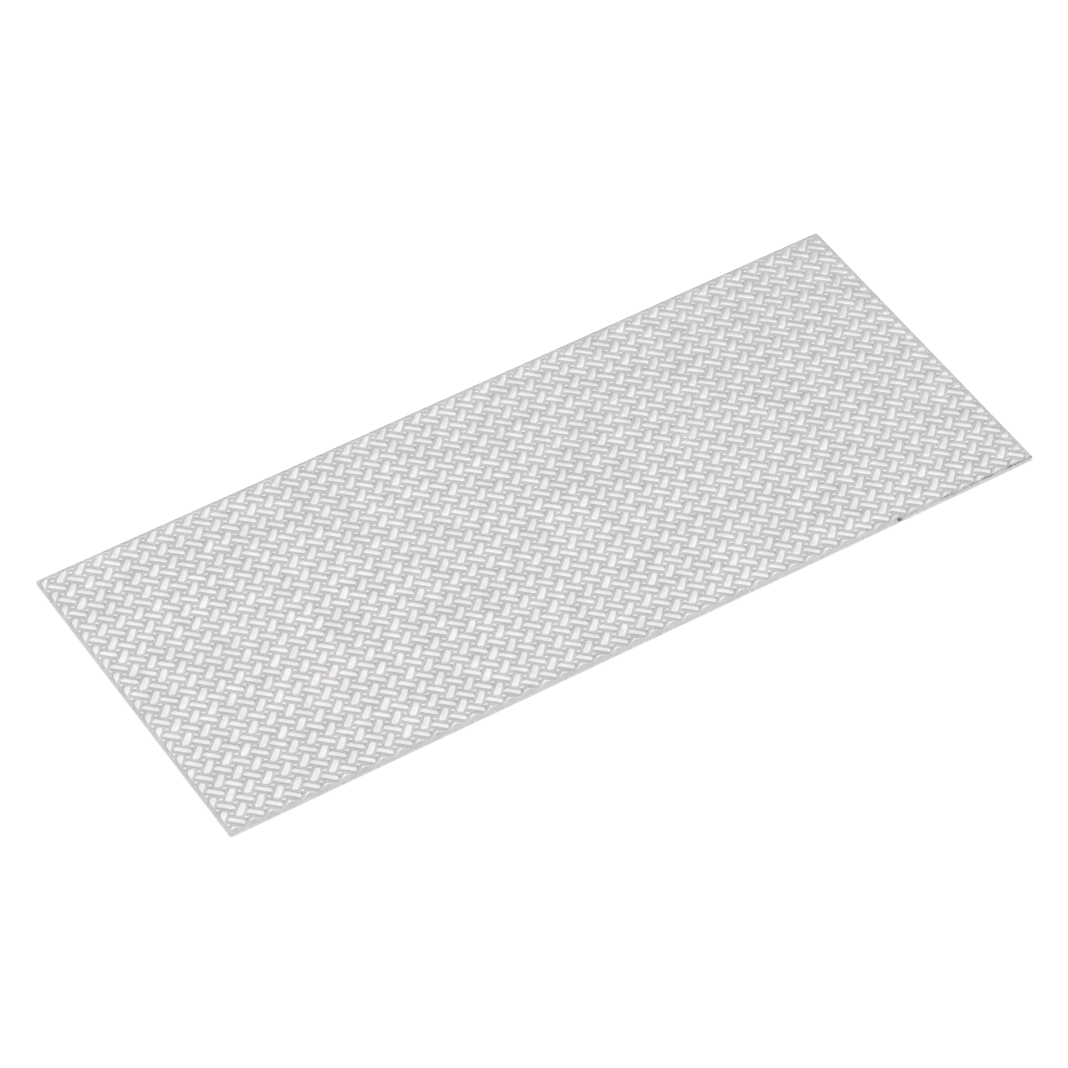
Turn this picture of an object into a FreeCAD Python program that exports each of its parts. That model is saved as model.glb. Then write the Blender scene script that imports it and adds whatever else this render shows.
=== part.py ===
import FreeCAD, Part
import os
import Sketcher

# A small flat sheet of aluminium checker plate, cut to a rectangle by a shear.
# The frame: +X along the length, +Y across the width, +Z up out of the tread.
# The origin is the middle of the back face, which lies on the floor.
# The solid is as tall as the crests of the tread. The bars and studs are fine relief in the
# upper part of that height, and are not cut here.

NODE = "checker_plate"
OUT_DIR = "parts"

DIMENSIONS = (
    # alias, millimetres, what it is
    ("plate_length", 200.0, "length of the sheet, along X"),
    ("plate_width", 85.0, "width of the sheet, along Y"),
    ("sheet_gauge", 0.7, "thickness of the metal between the bars"),
    ("tread_height", 0.3, "height of the bars and studs above the metal between them"),
    ("corner_radius", 0.5, "rounding of the four sheared corners, seen from above"),
    ("edge_rollover", 0.12, "radius that the shear leaves on the upper edges"),
)

TOLERANCE = 1e-6


def make_dimensions(doc):
    """The spreadsheet that holds every driving size as a plain number with an alias."""
    sheet = doc.addObject("Spreadsheet::Sheet", "dimensions")
    for row, (alias, value, note) in enumerate(DIMENSIONS, start=1):
        sheet.set(f"A{row}", note)
        sheet.set(f"B{row}", str(value))
        sheet.setAlias(f"B{row}", alias)
    doc.recompute()
    return sheet


def origin_plane(body, role):
    """The body's own origin plane of that role."""
    return next(f for f in body.Origin.OriginFeatures if f.Role == role)


def make_outline(body, sheet):
    """A rectangle centred on the origin, driven by the length and the width."""
    sketch = body.newObject("Sketcher::SketchObject", "plate_outline")
    sketch.AttachmentSupport = (origin_plane(body, "XY_Plane"), [""])
    sketch.MapMode = "FlatFace"
    length, width = sheet.plate_length, sheet.plate_width
    corners = [
        FreeCAD.Vector(x * length / 2, y * width / 2, 0)
        for x, y in ((-1, -1), (1, -1), (1, 1), (-1, 1))
    ]
    sides = [
        sketch.addGeometry(Part.LineSegment(start, end), False)
        for start, end in zip(corners, corners[1:] + corners[:1])
    ]
    for side, following in zip(sides, sides[1:] + sides[:1]):
        sketch.addConstraint(Sketcher.Constraint("Coincident", side, 2, following, 1))
    front, right, back, left = sides
    for side in (front, back):
        sketch.addConstraint(Sketcher.Constraint("Horizontal", side))
    for side in (right, left):
        sketch.addConstraint(Sketcher.Constraint("Vertical", side))
    sketch.addConstraint(Sketcher.Constraint("Symmetric", front, 1, back, 1, -1, 1))
    for side, kind, alias in (
        (front, "DistanceX", "plate_length"),
        (right, "DistanceY", "plate_width"),
    ):
        size = Sketcher.Constraint(kind, side, 1, side, 2, getattr(sheet, alias))
        index = sketch.addConstraint(size)
        sketch.setExpression(f"Constraints[{index}]", f"dimensions.{alias}")
    return sketch


def make_blank(body, outline):
    """The outline padded to the height of the tread's crests."""
    pad = body.newObject("PartDesign::Pad", "blank")
    pad.Profile = outline
    pad.setExpression("Length", "dimensions.sheet_gauge + dimensions.tread_height")
    return pad


def edge_names(shape, wanted):
    """The names of the shape's edges whose bounding box passes the test."""
    return [
        f"Edge{index}"
        for index, edge in enumerate(shape.Edges, start=1)
        if wanted(edge.BoundBox)
    ]


def corner_edges(shape):
    """The edges that stand along Z, at the sheet's corners."""
    return edge_names(
        shape,
        lambda box: box.ZLength > TOLERANCE and box.XLength + box.YLength < TOLERANCE,
    )


def rim_edges(shape):
    """The edges round the upper face."""
    top = shape.BoundBox.ZMax
    return edge_names(shape, lambda box: box.ZMin > top - TOLERANCE)


def make_fillet(doc, body, base, name, edges, alias):
    """A fillet of the named size on those edges of the feature before it."""
    fillet = body.newObject("PartDesign::Fillet", name)
    fillet.Base = (base, edges)
    fillet.setExpression("Radius", f"dimensions.{alias}")
    doc.recompute()
    return fillet


def make_plate(doc, sheet):
    """The whole sheet as one body."""
    body = doc.addObject("PartDesign::Body", NODE)
    body.Label = NODE
    blank = make_blank(body, make_outline(body, sheet))
    doc.recompute()
    corners = make_fillet(doc, body, blank, "corners", corner_edges(blank.Shape), "corner_radius")
    rim = make_fillet(doc, body, corners, "rollover", rim_edges(corners.Shape), "edge_rollover")
    body.Tip = rim
    doc.recompute()
    return body


def check(doc, body):
    """Stops the build if any object failed or the solid isn't whole."""
    for item in doc.Objects:
        if "Invalid" in item.State or "Error" in item.State:
            raise RuntimeError(f"{item.Name} failed to build: {item.State}")
    shape = body.Shape
    if shape.isNull() or not shape.isValid() or len(shape.Solids) != 1:
        raise RuntimeError(f"{body.Label} is not one valid solid")


def main():
    doc = FreeCAD.newDocument("checker_plate_model")
    sheet = make_dimensions(doc)
    plate = make_plate(doc, sheet)
    check(doc, plate)
    os.makedirs(OUT_DIR, exist_ok=True)
    plate.Shape.exportStep(os.path.join(OUT_DIR, f"{plate.Label}.step"))
    box = plate.Shape.optimalBoundingBox()
    print(
        f"{plate.Label}: {box.XLength:.3f} x {box.YLength:.3f} x {box.ZLength:.3f} mm, "
        f"{plate.Shape.Volume:.1f} mm3, {len(plate.Shape.Faces)} faces"
    )


main()
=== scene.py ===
"""Looks of a small embossed aluminium checker plate, around the packed CAD sheet.

The sheet is one skin of metal. Three tiles carry its tread: a bar that leans one way, a bar that leans
the other way, and a stud. They fit together with nothing left over, so repeating them gives a closed
surface, which is then cut to the sheet's rectangle as a shear cuts it.
"""

import math

import bmesh
import bpy
from bpy.props import FloatProperty, FloatVectorProperty, IntProperty, PointerProperty
from bpy.types import Operator, Panel, PropertyGroup
from mathutils import Matrix, Vector


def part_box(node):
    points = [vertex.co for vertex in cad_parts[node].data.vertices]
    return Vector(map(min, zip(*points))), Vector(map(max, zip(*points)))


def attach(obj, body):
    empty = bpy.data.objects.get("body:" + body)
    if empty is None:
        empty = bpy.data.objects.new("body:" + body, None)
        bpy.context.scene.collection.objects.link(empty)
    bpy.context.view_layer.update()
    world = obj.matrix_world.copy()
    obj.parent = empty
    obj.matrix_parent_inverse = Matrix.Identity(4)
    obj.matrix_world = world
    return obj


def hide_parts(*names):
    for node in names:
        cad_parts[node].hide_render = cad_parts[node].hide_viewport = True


bl_info = {
    "name": "Embossed Checker Plate",
    "version": (1, 0, 0),
    "blender": (4, 5, 0),
    "location": "3D View > Sidebar > Checker Plate",
    "description": "Builds a sheet of embossed aluminium checker plate and the stage it lies on",
    "category": "Add Mesh",
}

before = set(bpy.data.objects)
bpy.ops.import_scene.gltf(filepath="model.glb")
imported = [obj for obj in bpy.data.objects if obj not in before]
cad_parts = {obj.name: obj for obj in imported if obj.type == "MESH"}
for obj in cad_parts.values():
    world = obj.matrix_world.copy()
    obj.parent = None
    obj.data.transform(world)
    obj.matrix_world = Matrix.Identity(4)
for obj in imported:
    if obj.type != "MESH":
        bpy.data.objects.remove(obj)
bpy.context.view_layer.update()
NODE = "checker_plate"
LOW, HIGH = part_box(NODE)

MM = 0.001
UP = Vector((0, 0, 1))


def linear(code):
    """An sRGB hex colour as linear red, green and blue."""
    parts = (int(code[i:i + 2], 16) / 255 for i in (1, 3, 5))
    return tuple(c / 12.92 if c <= 0.04045 else ((c + 0.055) / 1.055) ** 2.4 for c in parts)


def length(name, default_mm, description):
    """A length property, with its default in millimetres."""
    return FloatProperty(
        name=name, description=description, default=default_mm * MM, unit="LENGTH", precision=5
    )


def colour(name, code, description):
    """A colour property, with its default as sRGB hex."""
    return FloatVectorProperty(
        name=name, description=description, default=linear(code), subtype="COLOR", min=0, max=1
    )


class CheckerTread(PropertyGroup):
    """The bars and studs that the roll presses up out of the metal."""

    pitch_along: length("Pitch along", 4.414, "Distance between like bars along the sheet")
    pitch_across: length("Pitch across", 4.604, "Distance between like bars across the sheet")
    first_column: length("First column", 0.86, "From the left edge to the first bar that leans right")
    first_row: length("First row", 1.87, "From the back edge to the first bar that leans right")
    bar_length: length("Bar length", 4.1, "Length of a bar at its foot")
    bar_width: length("Bar width", 2.04, "Width of a bar at its foot")
    bar_height: length("Bar height", 0.3, "Height of a bar above the metal between the bars")
    stud_width: length("Stud width", 0.94, "Width of a stud at its foot")
    stud_height: length("Stud height", 0.14, "Height of a stud above the metal between the bars")


class CheckerSheet(PropertyGroup):
    """How the sheet is cut from the embossed stock."""

    corner_radius: length("Corner radius", 0.5, "Rounding of the four corners, seen from above")
    rollover: length("Rollover", 0.12, "How far the shear rolls the upper edge over")
    pressed: length("Pressed margin", 0.9, "How far in from the long edges the tread is pressed down")
    pressed_ends: length("Pressed ends", 0.6, "How far in from the short edges the tread is pressed down")
    corner_cuts: IntProperty(
        name="Corner cuts", description="Number of flats that make each rounded corner", default=3, min=1
    )


class CheckerFinish(PropertyGroup):
    """Colours of the aluminium, and the dark painted in the nick and as shade along the front edge."""

    # The crests are lighter than the hollows partly through the roll's polish and partly as painted shade
    # in the hollows.
    bright: colour("Crests", "#F6F3F4", "Bright aluminium, polished by the roll on the crests")
    mill: colour("Hollows", "#E5E2E3", "Aluminium with its mill finish, in the hollows and on the back")
    sheared: colour("Cut edge", "#E0DEDF", "Bare aluminium where the shear cut it")
    # Colour painted near black in the nick, and as painted shade in the crease along the front edge.
    nick_and_crease_dark: colour("Grime", "#1C1A1A", "Dirt caught in the nick and along the cut edge")


class CheckerWearAndShade(PropertyGroup):
    """The knock that this sheet has taken, and where dark is painted in its nick and as shade along its
    front edge.
    """

    nick_place: length("Nick place", 165.3, "From the left edge to the nick in the front edge")
    nick_width: length("Nick width", 1.7, "Width of the nick along the edge")
    nick_depth: length("Nick depth", 0.42, "How far the nick is knocked down into the upper edge")
    nick_bite: length("Nick bite", 0.14, "How far the nick goes in from the edge")
    # Where the painted shade starts along the front edge.
    crease_shade_start: length("Dirt start", 158.0, "From the left edge to where dirt starts along the front edge")


class CheckerStage(PropertyGroup):
    """The floor, the light and the camera."""

    floor: colour("Floor", "#FFFFFF", "Matt white floor")
    distance: length("Distance", 1192.4, "From the camera to the point it looks at")
    azimuth: FloatProperty(
        name="Azimuth", description="Direction of the camera, seen from above", subtype="ANGLE",
        default=math.radians(-120.08),
    )
    elevation: FloatProperty(
        name="Elevation", description="Angle of the camera above the floor", subtype="ANGLE",
        default=math.radians(46.13),
    )
    roll: FloatProperty(
        name="Roll", description="Tilt of the camera about its own axis", subtype="ANGLE",
        default=math.radians(-2.01),
    )
    aim: FloatVectorProperty(
        name="Aim", description="Point on the floor that the camera looks at", subtype="XYZ",
        unit="LENGTH", default=(-2.8 * MM, -2.8 * MM, 0),
    )
    lens: FloatProperty(
        name="Lens", description="Focal length in millimetres, on a 36 mm sensor", default=186.97
    )


# ---------------------------------------------------------------- the tread's tiles

# Sections from the foot inwards and up: millimetres in, and share of the height.
BAR_SECTION = ((0.08, 0.07), (0.2, 0.36), (0.34, 0.72), (0.52, 0.9), (0.78, 1.0))
STUD_SECTION = ((0.05, 0.6), (0.14, 1.0))
# Points of neighbouring tiles nearer than this are one point.
WELD = 0.02 * MM


def rectangle(bm, along, across):
    """A flat rectangle about the origin, as one face."""
    made = bmesh.ops.create_grid(bm, x_segments=1, y_segments=1, size=0.5)
    bmesh.ops.scale(bm, vec=(along, across, 1), verts=made["verts"])
    return made["verts"][0].link_faces[0]


def tile_border(bm, along, across, notch):
    """The border of a tile, with a point on each long side wherever two neighbours meet."""
    before = set(bm.edges)
    faces = [rectangle(bm, along, across)]
    for x in (-notch, notch):
        geom = list(dict.fromkeys(g for f in faces for g in (f, *f.edges, *f.verts)))
        parts = bmesh.ops.bisect_plane(bm, geom=geom, plane_co=(x, 0, 0), plane_no=(1, 0, 0))
        faces = [g for g in parts["geom"] if isinstance(g, bmesh.types.BMFace)]
    bmesh.ops.delete(bm, geom=faces, context="FACES_KEEP_BOUNDARY")
    return [e for e in bm.edges if e not in before]


def raised_block(bm, along, across, height, section):
    """A block pressed up out of the metal, with its foot and its crest rounded by the section."""
    face = rectangle(bm, along, across)
    inward, up = 0.0, 0.0
    for next_in, next_up in section:
        bmesh.ops.inset_region(
            bm, faces=[face], thickness=(next_in - inward) * MM, depth=(next_up - up) * height,
            use_boundary=True, use_even_offset=True,
        )
        inward, up = next_in, next_up
    return rim(bm)


def make_tile(block, border=None):
    """One tile: a block, and any flat metal round it out to the tile's border."""
    bm = bmesh.new()
    foot = raised_block(bm, *block)
    if border:
        bmesh.ops.bridge_loops(bm, edges=foot + tile_border(bm, *border))
    mesh = bpy.data.meshes.new("tile")
    bm.to_mesh(mesh)
    bm.free()
    return mesh


def repeat(bm, step, count):
    """Repeats all that is in the mesh, so that there are count of it in a row."""
    first = bm.verts[:] + bm.edges[:] + bm.faces[:]
    for place in range(1, count):
        copy = bmesh.ops.duplicate(bm, geom=first)["geom"]
        verts = [g for g in copy if isinstance(g, bmesh.types.BMVert)]
        bmesh.ops.translate(bm, vec=step * place, verts=verts)


def tread_skin(tread):
    """The upper surface of the stock, somewhat larger than the sheet, at the height of its hollows."""
    pitch = (tread.pitch_along + tread.pitch_across) / 2
    step = pitch * math.sqrt(0.5)
    margin = (step * 2 - tread.bar_length - tread.bar_width) / 4
    tile_length = tread.bar_length + 2 * margin
    tile_width = tread.bar_width + 2 * margin
    stud_tile = step - tile_width
    bar = make_tile(
        (tread.bar_length, tread.bar_width, tread.bar_height, BAR_SECTION),
        (tile_length, tile_width, tile_width / 2),
    )
    gap = (stud_tile - tread.stud_width) / 2 / MM
    stud_section = ((gap, 0), *((gap + inward, up) for inward, up in STUD_SECTION))
    stud = make_tile((stud_tile, stud_tile, tread.stud_height, stud_section))
    bm = bmesh.new()
    half = pitch / 2
    eighth = math.radians(45)
    for tile, x, y, turn in (
        (bar, 0, 0, eighth), (bar, half, half, -eighth), (stud, half, 0, eighth), (stud, 0, half, eighth)
    ):
        before = set(bm.verts)
        bm.from_mesh(tile)
        verts = [v for v in bm.verts if v not in before]
        bmesh.ops.transform(
            bm, matrix=Matrix.Translation((x, y, 0)) @ Matrix.Rotation(turn, 4, "Z"), verts=verts
        )
    size = HIGH - LOW
    columns = math.ceil(size.x / tread.pitch_along) + 2
    rows = math.ceil(size.y / tread.pitch_across) + 2
    repeat(bm, Vector((pitch, 0, 0)), columns)
    repeat(bm, Vector((0, -pitch, 0)), rows)
    bmesh.ops.remove_doubles(bm, verts=bm.verts, dist=WELD)
    stretch = (tread.pitch_along / pitch, tread.pitch_across / pitch, 1)
    bmesh.ops.scale(bm, vec=stretch, verts=bm.verts)
    corner = Vector((
        LOW.x + tread.first_column - tread.pitch_along,
        HIGH.y - tread.first_row + tread.pitch_across,
        HIGH.z - tread.bar_height,
    ))
    bmesh.ops.translate(bm, vec=corner, verts=bm.verts)
    for tile in (bar, stud):
        bpy.data.meshes.remove(tile)
    return bm


# ---------------------------------------------------------------- cutting the sheet

# A cut looks no further than this on either side of its plane.
CUT_REACH = 12 * MM


def bisect_near(bm, near, point, outward, clear):
    """Cuts the vertices in near, and their edges and faces, along a plane."""
    edges = dict.fromkeys(e for v in near for e in v.link_edges)
    faces = dict.fromkeys(f for v in near for f in v.link_faces)
    bmesh.ops.bisect_plane(
        bm, geom=[*near, *edges, *faces], plane_co=point, plane_no=outward, clear_outer=clear
    )


def cut(bm, point, outward, clear=True):
    """Cuts along a plane, and takes away all that lies beyond it unless clear is off."""
    level = Vector(point).dot(outward)
    near = [v for v in bm.verts if abs(v.co.dot(outward) - level) < CUT_REACH]
    bisect_near(bm, near, point, outward, clear)


def cut_outline(bm, half_x, half_y, radius, flats):
    """Cuts the stock to a rectangle with rounded corners."""
    for sign in (-1, 1):
        cut(bm, (sign * half_x, 0, 0), Vector((sign, 0, 0)))
        cut(bm, (0, sign * half_y, 0), Vector((0, sign, 0)))
    for sign_x in (-1, 1):
        for sign_y in (-1, 1):
            centre = Vector((sign_x * (half_x - radius), sign_y * (half_y - radius), 0))
            for flat in range(flats):
                turn = math.radians(90) * (flat + 0.5) / flats
                outward = Vector((sign_x * math.cos(turn), sign_y * math.sin(turn), 0))
                cut(bm, centre + outward * radius, outward)


# Lines of the pressed margin, as shares of its width. The first bounds the flat strip at the cut.
PRESS_LINES = (0.35, 0.68, 1.0)
# Share of the tread's height that is left in the flat strip.
PRESS_LEFT = 0.1
# Near a corner, this share of the two distances together counts as the distance to the cut.
CORNER_SHARE = 0.32


def press_margin(bm, half_x, half_y, margin_x, margin_y, hollow):
    """Presses the tread down towards the cut, where the shear bears on the sheet."""
    for share in PRESS_LINES:
        for sign in (-1, 1):
            cut(bm, (sign * (half_x - margin_x * share), 0, 0), Vector((sign, 0, 0)), clear=False)
            cut(bm, (0, sign * (half_y - margin_y * share), 0), Vector((0, sign, 0)), clear=False)
    for vert in bm.verts:
        to_x = (half_x - abs(vert.co.x)) / margin_x
        to_y = (half_y - abs(vert.co.y)) / margin_y
        inside = min(to_x, to_y, (to_x + to_y) * CORNER_SHARE)
        if inside < 1:
            rise = max((inside - PRESS_LINES[0]) / (1 - PRESS_LINES[0]), 0)
            share = rise * rise * (3 - 2 * rise)
            vert.co.z = hollow + (vert.co.z - hollow) * (PRESS_LEFT + (1 - PRESS_LEFT) * share)


# Lines cut for the nick's shape, as shares of half its width, and how far they reach.
NICK_LINES = (-1.0, -0.45, 0.0, 0.45, 1.0)
NICK_REACH = 4


def knock_nick(bm, wear_and_shade):
    """Knocks a small nick down into the upper edge at the front."""
    place = Vector((LOW.x + wear_and_shade.nick_place, LOW.y, 0))
    half = wear_and_shade.nick_width / 2
    for share in NICK_LINES:
        line = place + Vector((half * share, 0, 0))
        near = [v for v in bm.verts if (v.co.xy - place.xy).length < NICK_REACH * half]
        bisect_near(bm, near, line, (1, 0, 0), False)
    for vert in bm.verts:
        away = (vert.co.xy - place.xy).length / half
        if away < 1:
            share = (1 - away * away) ** 2
            vert.co += Vector((0, wear_and_shade.nick_bite, -wear_and_shade.nick_depth)) * share


def rim(bm):
    """The open edges of the mesh."""
    return [e for e in bm.edges if e.is_boundary]


def extrude_rim(bm):
    """New faces along the rim, and the vertices to move."""
    made = bmesh.ops.extrude_edge_only(bm, edges=rim(bm))["geom"]
    faces = [g for g in made if isinstance(g, bmesh.types.BMFace)]
    verts = [g for g in made if isinstance(g, bmesh.types.BMVert)]
    return faces, verts


# Edges shorter than this, left by the cuts, are closed up.
SHORTEST = 0.012 * MM


def close_sheet(bm, half_x, half_y, rollover):
    """Rolls the upper edge over, drops the sheared sides to the back, and closes the back."""
    bmesh.ops.dissolve_degenerate(bm, dist=SHORTEST, edges=bm.edges)
    inner_x, inner_y = half_x - rollover, half_y - rollover
    reach_x, reach_y = inner_x, inner_y
    depth = 0.0
    for turn in (math.radians(45), math.radians(90)):
        faces, verts = extrude_rim(bm)
        next_x = inner_x + rollover * math.sin(turn)
        next_y = inner_y + rollover * math.sin(turn)
        bmesh.ops.scale(bm, vec=(next_x / reach_x, next_y / reach_y, 1), verts=verts)
        drop = rollover * (1 - math.cos(turn))
        bmesh.ops.translate(bm, vec=-UP * (drop - depth), verts=verts)
        reach_x, reach_y, depth = next_x, next_y, drop
    sides, verts = extrude_rim(bm)
    bmesh.ops.scale(bm, vec=(1, 1, 0), verts=verts)
    back = bmesh.ops.contextual_create(bm, geom=rim(bm))["faces"]
    return sides, back


# Material slots of the sheet. The first, 0, is the embossed face.
SHEARED = 1
BACK = 2


class CHECKER_OT_sheet(Operator):
    """Press the tread, cut the sheet and give it its finishes"""

    bl_idname = "checker.make_sheet"
    bl_label = "Make Sheet"

    def execute(self, context):
        tread, sheet = context.scene.checker_tread, context.scene.checker_sheet
        flat_x, flat_y = HIGH.x - sheet.rollover, HIGH.y - sheet.rollover
        bm = tread_skin(tread)
        cut_outline(bm, flat_x, flat_y, sheet.corner_radius, sheet.corner_cuts)
        press_margin(
            bm, flat_x, flat_y, sheet.pressed_ends, sheet.pressed, HIGH.z - tread.bar_height
        )
        knock_nick(bm, context.scene.checker_wear)
        sides, back = close_sheet(bm, HIGH.x, HIGH.y, sheet.rollover)
        for face in bm.faces:
            face.smooth = True
        for face in sides:
            face.material_index = SHEARED
        for face in back:
            face.smooth = False
            face.material_index = BACK
            for edge in face.edges:
                edge.smooth = False
        bmesh.ops.recalc_face_normals(bm, faces=bm.faces)
        mesh = bpy.data.meshes.new("embossed_sheet")
        bm.to_mesh(mesh)
        bm.free()
        piece = bpy.data.objects.new("embossed_sheet", mesh)
        context.scene.collection.objects.link(piece)
        finish, wear_and_shade = context.scene.checker_finish, context.scene.checker_wear
        mesh.materials.append(embossed_aluminium(finish, wear_and_shade, tread))
        mesh.materials.append(sheared_aluminium(finish, wear_and_shade))
        mesh.materials.append(mill_finish_aluminium(finish))
        crisp = piece.modifiers.new("crisp_blocks", "WEIGHTED_NORMAL")
        crisp.mode = "FACE_AREA"
        crisp.keep_sharp = True
        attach(piece, "root")
        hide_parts(NODE)
        return {"FINISHED"}


# ---------------------------------------------------------------- finishes

def add(tree, kind, settings=None, **links):
    """Adds a node with its settings, and links or fills its inputs, by name or by number such as _0."""
    node = tree.nodes.new(kind)
    for name, value in (settings or {}).items():
        setattr(node, name, value)
    for name, value in links.items():
        key = int(name[1:]) if name[0] == "_" else name.replace("_", " ")
        socket = node.inputs[key]
        if isinstance(value, bpy.types.NodeSocket):
            tree.links.new(value, socket)
        else:
            socket.default_value = value
    return node


def new_material(name):
    """An empty material with nodes, and its tree."""
    material = bpy.data.materials.new(name)
    material.use_nodes = True
    material.node_tree.nodes.clear()
    return material, material.node_tree


# Real rolling lines lie some 0.05 mm apart. They are drawn 0.3 mm wide and 9 mm long, so that they show.
LINE_WIDTH = 0.3 * MM
LINE_LENGTH = 9 * MM
# Bars differ a little from each other, because they were not all pressed up alike.
BAR_PATCH = 3.2 * MM
# Cloudy places where the sheet has been handled and wiped.
CLOUD = 28 * MM
# Grain of the torn metal on a sheared edge, and the streaks that the blade drew down it. Both are drawn
# coarser than real, so that they show.
TEAR_WIDTH = 0.28 * MM
TEAR_LENGTH = 1.5 * MM
# Size of the ragged places in the outline of the dark painted in the nick and the crease, and how far they
# move it either way.
RAGGED = 0.5 * MM
RAGGED_SHIFT = 0.2 * MM
# Where the dark painted in the nick thins out, as shares of the nick's width from its middle, and the
# height of that middle as a share of the sheet's.
NICK_DARK = (0.16, 0.44)
NICK_DARK_HEIGHT = 0.6
# How far in from the front edge the crease lies that is painted with shade, and where that painted shade
# thins out.
CREASE_IN = 0.4 * MM
CREASE_SHADE = (0.06 * MM, 0.3 * MM)
# The dashes that the painted shade in the crease is broken into, the least of it left between them, the
# length over which it builds up, and the most that there is.
DASH = (3 * MM, 9 * MM, 9 * MM)
DASH_LEAST = 0.15
SHADE_BUILD = 34 * MM
SHADE_MOST = 0.65
# Most values of a noise texture lie between these.
NOISE_RANGE = (0.3, 0.7)


def pattern(tree, place, size, detail=2.0):
    """Noise whose features are as large as size along x, y and z."""
    scaled = add(
        tree, "ShaderNodeMapping", Vector=place.outputs["Object"], Scale=tuple(1 / side for side in size)
    )
    return add(tree, "ShaderNodeTexNoise", Vector=scaled.outputs[0], Scale=1.0, Detail=detail).outputs[0]


def ramp(tree, value, start, end, low=0.0, high=1.0):
    """A value carried from low, where it is at start, to high, where it is at end."""
    return add(
        tree, "ShaderNodeMapRange", Value=value, From_Min=start, From_Max=end, To_Min=low, To_Max=high
    ).outputs[0]


def spread(tree, noise, low, high):
    """A noise value spread from low to high."""
    return ramp(tree, noise, *NOISE_RANGE, low, high)


def maths(tree, operation, first, second):
    """One sum on two values."""
    return add(tree, "ShaderNodeMath", {"operation": operation}, _0=first, _1=second).outputs[0]


def product(tree, first, *others):
    """All the values multiplied together."""
    for other in others:
        first = maths(tree, "MULTIPLY", first, other)
    return first


def total(tree, first, *others):
    """All the values added together."""
    for other in others:
        first = maths(tree, "ADD", first, other)
    return first


def blend(tree, share, first, second):
    """A mix of two colours."""
    return add(
        tree, "ShaderNodeMix", {"data_type": "RGBA"}, _0=share, _6=first, _7=second
    ).outputs[2]


def toned(tree, metal, shade):
    """A colour made lighter or darker."""
    return add(tree, "ShaderNodeVectorMath", {"operation": "SCALE"}, _0=metal, Scale=shade).outputs[0]


def nick_dark_and_crease_shade(tree, place, wear_and_shade):
    """Where dark is painted: near black in the nick, and as shade broken up in the crease along the right
    end of the front edge.
    """
    ragged = spread(tree, pattern(tree, place, (RAGGED,) * 3), -RAGGED_SHIFT, RAGGED_SHIFT)
    nick = Vector((LOW.x + wear_and_shade.nick_place, LOW.y, HIGH.z * NICK_DARK_HEIGHT))
    away = add(
        tree, "ShaderNodeVectorMath", {"operation": "DISTANCE"}, _0=place.outputs["Object"], _1=nick
    ).outputs["Value"]
    near, far = (wear_and_shade.nick_width * share for share in NICK_DARK)
    in_nick = ramp(tree, total(tree, away, ragged), near, far, 1.0, 0.0)
    parts = add(tree, "ShaderNodeSeparateXYZ", Vector=place.outputs["Object"])
    inward = maths(tree, "SUBTRACT", parts.outputs["Y"], LOW.y + CREASE_IN)
    off_crease = maths(tree, "ABSOLUTE", inward, 0)
    line = ramp(tree, total(tree, off_crease, ragged), *CREASE_SHADE, 1.0, 0.0)
    dashes = spread(tree, pattern(tree, place, DASH), DASH_LEAST, 1.0)
    start = LOW.x + wear_and_shade.crease_shade_start
    along = ramp(tree, parts.outputs["X"], start, start + SHADE_BUILD, 0.0, SHADE_MOST)
    return maths(tree, "MAXIMUM", in_nick, product(tree, line, dashes, along))


def darkened_metal(tree, finish, metal, nick_and_crease_dark, roughness, bump):
    """Bare metal, painted dark where the mask is 1: shade in the crease, and the dark of the nick."""
    shader = add(
        tree, "ShaderNodeBsdfPrincipled", Base_Color=blend(tree, nick_and_crease_dark, metal, (*finish.nick_and_crease_dark, 1)),
        Metallic=maths(tree, "SUBTRACT", 1.0, nick_and_crease_dark), Roughness=roughness, Normal=bump.outputs[0],
    )
    add(tree, "ShaderNodeOutputMaterial", Surface=shader.outputs[0])


# The polish of the roll starts and is full at these shares of a bar's height; the darker hollows below it
# are partly painted shade.
POLISH_AND_HOLLOW_SHADE = (0.1, 0.5)
# The last share of a bar's height is its flat top, painted a little darker than its shoulders: a painted
# highlight along the shoulders.
TOP = 0.1
TOP_UNDER_PAINTED_HIGHLIGHT = 0.96
# Lightest and darkest that bars, lines and clouds make the metal.
BAR_TONE = (0.91, 1.05)
LINE_TONE = (0.95, 1.03)
CLOUD_TONE = (0.98, 1.02)
# Roughness of the hollows and the crests, and what lines, clouds and the painted dark add to it.
HOLLOW_ROUGH, CREST_ROUGH = 0.45, 0.25
UNEVEN_ROUGH = (-0.03, 0.03)
DARKENED_ROUGH = 0.5
LINE_DEPTH = 0.006 * MM
BUMP = 0.6


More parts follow.
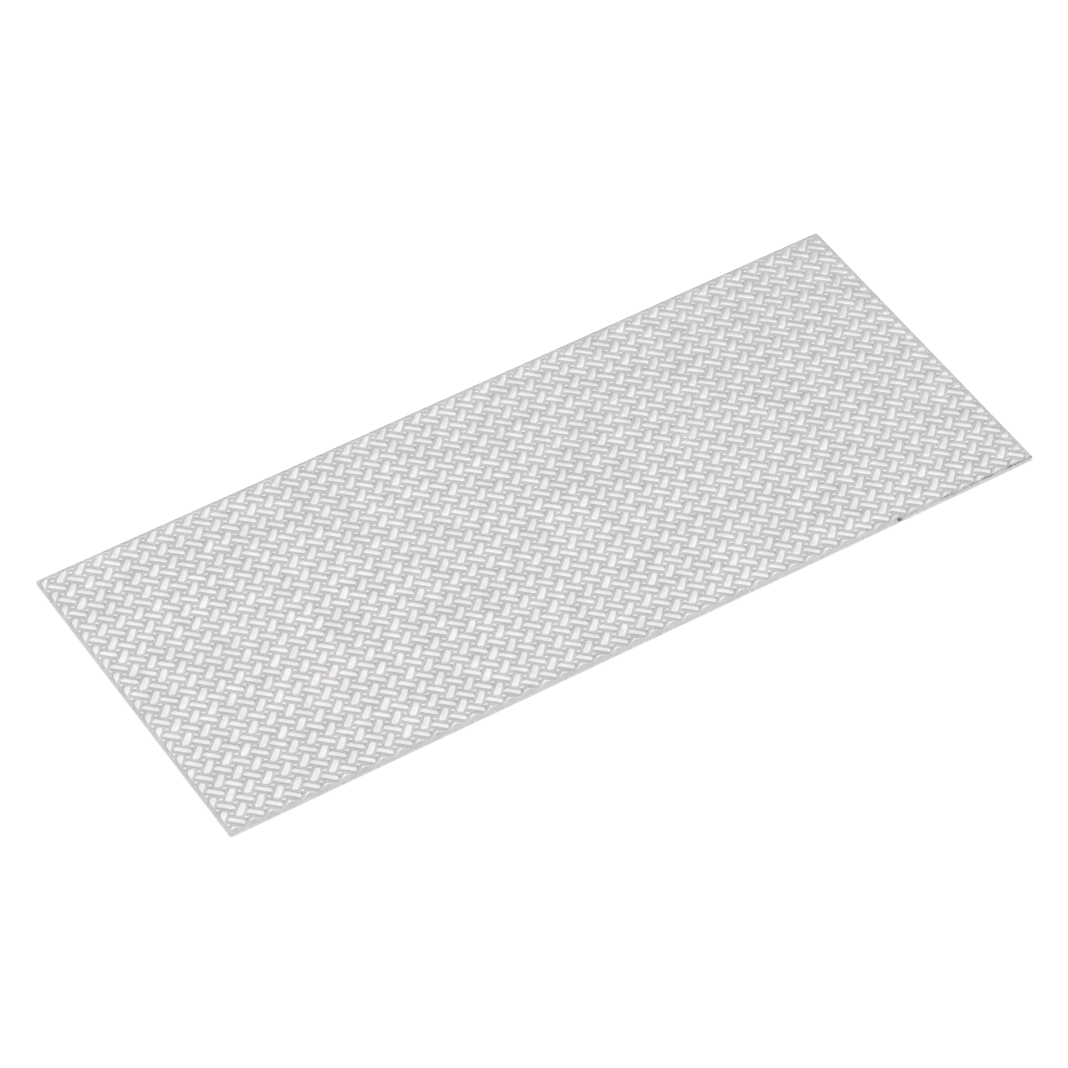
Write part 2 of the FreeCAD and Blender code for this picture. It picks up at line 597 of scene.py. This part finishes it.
def embossed_aluminium(finish, wear_and_shade, tread):
    """Embossed aluminium: the roll polishes the crests, and the hollows keep their duller mill finish;
    their darker colour is partly painted shade, and a highlight is painted along the bars' shoulders.

    To the eye the bars are bright, each a little unlike the next, and the metal between them is greyer.
    """
    material, tree = new_material("embossed_aluminium")
    place = add(tree, "ShaderNodeTexCoord")
    height = add(tree, "ShaderNodeSeparateXYZ", Vector=place.outputs["Object"]).outputs["Z"]
    hollow = HIGH.z - tread.bar_height
    # Crests lighter than hollows: partly the roll's polish, partly painted shade in the hollows.
    crest = ramp(tree, height, *(hollow + share * tread.bar_height for share in POLISH_AND_HOLLOW_SHADE))
    # Painted highlight: the shoulders are painted lighter than the flat top.
    painted_shoulder_highlight = ramp(tree, height, HIGH.z - TOP * tread.bar_height, HIGH.z, 1.0, TOP_UNDER_PAINTED_HIGHLIGHT)
    lines = pattern(tree, place, (LINE_LENGTH, LINE_WIDTH, LINE_WIDTH))
    bars = pattern(tree, place, (BAR_PATCH,) * 3)
    cloud = pattern(tree, place, (CLOUD,) * 3, detail=3.0)
    shade = product(
        tree, spread(tree, bars, *BAR_TONE), painted_shoulder_highlight, spread(tree, lines, *LINE_TONE),
        spread(tree, cloud, *CLOUD_TONE),
    )
    metal = toned(tree, blend(tree, crest, (*finish.mill, 1), (*finish.bright, 1)), shade)
    # Painted shade in the crease along the front edge, and dark painted in the nick.
    nick_and_crease_dark = nick_dark_and_crease_shade(tree, place, wear_and_shade)
    roughness = total(
        tree, ramp(tree, crest, 0.0, 1.0, HOLLOW_ROUGH, CREST_ROUGH), spread(tree, lines, *UNEVEN_ROUGH),
        spread(tree, cloud, *UNEVEN_ROUGH), product(tree, nick_and_crease_dark, DARKENED_ROUGH),
    )
    bump = add(tree, "ShaderNodeBump", Height=lines, Distance=LINE_DEPTH, Strength=BUMP)
    darkened_metal(tree, finish, metal, nick_and_crease_dark, roughness, bump)
    return material


# The torn metal ends between these shares of the sheet's height, and this much higher or lower by streaks.
TORN = (0.28, 0.4)
TORN_SHIFT = 0.1 * MM
# Lightest and darkest that the streaks make the edge, and how deep they are.
TEAR_TONE = (0.82, 1.08)
TEAR_DEPTH = 0.03 * MM
TEAR_BUMP = 0.8
CUT_ROUGH, TORN_ROUGH = 0.4, 0.62


def sheared_aluminium(finish, wear_and_shade):
    """Aluminium as the shear leaves it: a smooth cut above, and dull torn metal below.

    To the eye it is a slightly darker line than the rolled faces, with fine streaks down it.
    """
    material, tree = new_material("sheared_aluminium")
    place = add(tree, "ShaderNodeTexCoord")
    height = add(tree, "ShaderNodeSeparateXYZ", Vector=place.outputs["Object"]).outputs["Z"]
    tears = pattern(tree, place, (TEAR_WIDTH, TEAR_WIDTH, TEAR_LENGTH))
    broken = total(tree, height, spread(tree, tears, -TORN_SHIFT, TORN_SHIFT))
    torn = ramp(tree, broken, *(share * HIGH.z for share in TORN), 1.0, 0.0)
    metal = toned(tree, (*finish.sheared,), spread(tree, tears, *TEAR_TONE))
    roughness = ramp(tree, torn, 0.0, 1.0, CUT_ROUGH, TORN_ROUGH)
    bump = add(tree, "ShaderNodeBump", Height=tears, Distance=TEAR_DEPTH, Strength=TEAR_BUMP)
    # The painted shade along the front edge and the dark painted in the nick reach onto the cut edge too.
    darkened_metal(tree, finish, metal, nick_dark_and_crease_shade(tree, place, wear_and_shade), roughness, bump)
    return material


# The back's rolling lines run this many times further than those on the face.
BACK_LINES = 3
# Lightest and darkest that lines and clouds make the back, and the roughness that each gives it.
BACK_LINE_TONE = (0.92, 1.03)
BACK_CLOUD_TONE = (0.97, 1.02)
BACK_ROUGH = (0.3, 0.4)
BACK_CLOUD_ROUGH = (-0.03, 0.04)
BACK_LINE_DEPTH = 0.01 * MM


def mill_finish_aluminium(finish):
    """Mill-finish aluminium, as it leaves plain rolls.

    To the eye it is grey and satin, with faint lines along the rolling.
    """
    material, tree = new_material("mill_finish_aluminium")
    place = add(tree, "ShaderNodeTexCoord")
    lines = pattern(tree, place, (LINE_LENGTH * BACK_LINES, LINE_WIDTH, LINE_WIDTH), detail=4.0)
    cloud = pattern(tree, place, (CLOUD,) * 3, detail=3.0)
    shade = product(tree, spread(tree, lines, *BACK_LINE_TONE), spread(tree, cloud, *BACK_CLOUD_TONE))
    roughness = total(tree, spread(tree, lines, *BACK_ROUGH), spread(tree, cloud, *BACK_CLOUD_ROUGH))
    bump = add(tree, "ShaderNodeBump", Height=lines, Distance=BACK_LINE_DEPTH, Strength=BUMP)
    shader = add(
        tree, "ShaderNodeBsdfPrincipled", Base_Color=toned(tree, (*finish.mill,), shade), Metallic=1.0,
        Roughness=roughness, Normal=bump.outputs[0],
    )
    add(tree, "ShaderNodeOutputMaterial", Surface=shader.outputs[0])
    return material


# ---------------------------------------------------------------- stage

class CHECKER_OT_stage(Operator):
    """Lay the floor, hang the lights and set up the camera"""

    bl_idname = "checker.make_stage"
    bl_label = "Make Stage"

    def execute(self, context):
        stage = context.scene.checker_stage
        make_floor(context.scene, stage)
        make_light(context.scene)
        make_camera(context.scene, stage)
        return {"FINISHED"}


# What the floor gives off to the eye, so that it is white away from the sheet's shadow.
FLOOR_LIFT = 0.4
# Half of the floor's side, in metres, and how far it lies under the sheet.
FLOOR_HALF = 3.0
FLOOR_GAP = 0.05 * MM


def make_floor(scene, stage):
    """A wide matt floor just under the sheet."""
    bm = bmesh.new()
    bmesh.ops.create_grid(bm, x_segments=1, y_segments=1, size=FLOOR_HALF)
    bmesh.ops.translate(bm, vec=(0, 0, LOW.z - FLOOR_GAP), verts=bm.verts)
    mesh = bpy.data.meshes.new("floor")
    bm.to_mesh(mesh)
    bm.free()
    floor = bpy.data.objects.new("floor", mesh)
    scene.collection.objects.link(floor)
    material, tree = new_material("matt_white_floor")
    path = add(tree, "ShaderNodeLightPath")
    lit = add(tree, "ShaderNodeBsdfDiffuse", Color=(*stage.floor, 1))
    seen = maths(tree, "MAXIMUM", path.outputs["Is Camera Ray"], path.outputs["Is Glossy Ray"])
    lift = product(tree, seen, FLOOR_LIFT)
    glow = add(tree, "ShaderNodeEmission", Color=(*stage.floor, 1), Strength=lift)
    both = add(tree, "ShaderNodeAddShader", _0=lit.outputs[0], _1=glow.outputs[0])
    add(tree, "ShaderNodeOutputMaterial", Surface=both.outputs[0])
    mesh.materials.append(material)


# Strength of the even light. What the camera sees beyond the floor is white, which is 1.
ROOM_LIGHT = 0.62
# The soft box: its direction in degrees, its distance and sides in metres, and its radiance (1 is white).
BOX_AZIMUTH, BOX_ELEVATION = 60, 58
BOX_DISTANCE = 0.8
BOX_WIDTH, BOX_HEIGHT = 1.2, 0.5
BOX_RADIANCE = 0.44


def direction(azimuth, elevation):
    """The unit vector that points from the sheet to that place in the room, from angles in radians."""
    flat = math.cos(elevation)
    return Vector((flat * math.cos(azimuth), flat * math.sin(azimuth), math.sin(elevation)))


def make_light(scene):
    """Even studio light from all round, and one large soft box above and behind."""
    world = bpy.data.worlds.new("studio")
    world.use_nodes = True
    tree = world.node_tree
    tree.nodes.clear()
    path = add(tree, "ShaderNodeLightPath")
    room = add(tree, "ShaderNodeBackground", Color=(1, 1, 1, 1), Strength=ROOM_LIGHT)
    white = add(tree, "ShaderNodeBackground", Color=(1, 1, 1, 1), Strength=1.0)
    mix = add(
        tree, "ShaderNodeMixShader", _0=path.outputs["Is Camera Ray"], _1=room.outputs[0],
        _2=white.outputs[0],
    )
    add(tree, "ShaderNodeOutputWorld", Surface=mix.outputs[0])
    scene.world = world
    box = bpy.data.lights.new("overhead_box", "AREA")
    box.shape = "RECTANGLE"
    box.size, box.size_y = BOX_WIDTH, BOX_HEIGHT
    box.energy = BOX_RADIANCE * math.pi * BOX_WIDTH * BOX_HEIGHT
    lamp = bpy.data.objects.new("overhead_box", box)
    away = direction(math.radians(BOX_AZIMUTH), math.radians(BOX_ELEVATION))
    lamp.location = away * BOX_DISTANCE
    lamp.rotation_euler = (-away).to_track_quat("-Z", "Y").to_euler()
    scene.collection.objects.link(lamp)


# Width of the camera's sensor, in millimetres.
SENSOR_WIDTH = 36


def make_camera(scene, stage):
    """A long lens that looks down on the sheet from the front left."""
    camera = bpy.data.cameras.new("camera")
    camera.sensor_width = SENSOR_WIDTH
    camera.lens = stage.lens
    eye = bpy.data.objects.new("camera", camera)
    towards = direction(stage.azimuth, stage.elevation)
    look = (-towards).to_track_quat("-Z", "Y").to_matrix().to_4x4()
    place = Matrix.Translation(Vector(stage.aim) + towards * stage.distance)
    eye.matrix_world = place @ look @ Matrix.Rotation(stage.roll, 4, "Z")
    scene.collection.objects.link(eye)
    scene.camera = eye
    scene.view_settings.view_transform = "Standard"


class CHECKER_PT_panel(Panel):
    """The sheet and its stage"""

    bl_label = "Checker Plate"
    bl_idname = "CHECKER_PT_panel"
    bl_space_type = "VIEW_3D"
    bl_region_type = "UI"
    bl_category = "Checker Plate"

    def draw(self, context):
        layout = self.layout
        for name in SETTINGS:
            layout.label(text=SETTINGS[name].__doc__)
            group = getattr(context.scene, name)
            for key in SETTINGS[name].__annotations__:
                layout.prop(group, key)
        for operator in OPERATORS:
            layout.operator(operator.bl_idname)


SETTINGS = {
    "checker_tread": CheckerTread,
    "checker_sheet": CheckerSheet,
    "checker_finish": CheckerFinish,
    "checker_wear": CheckerWearAndShade,
    "checker_stage": CheckerStage,
}
OPERATORS = (CHECKER_OT_sheet, CHECKER_OT_stage)


def register():
    for kind in (*SETTINGS.values(), *OPERATORS, CHECKER_PT_panel):
        bpy.utils.register_class(kind)
    for name, kind in SETTINGS.items():
        setattr(bpy.types.Scene, name, PointerProperty(type=kind))


def unregister():
    for name in SETTINGS:
        delattr(bpy.types.Scene, name)
    for kind in (CHECKER_PT_panel, *OPERATORS, *SETTINGS.values()):
        bpy.utils.unregister_class(kind)


def main():
    register()
    bpy.ops.checker.make_sheet()
    bpy.ops.checker.make_stage()


if __name__ == "__main__":
    main()
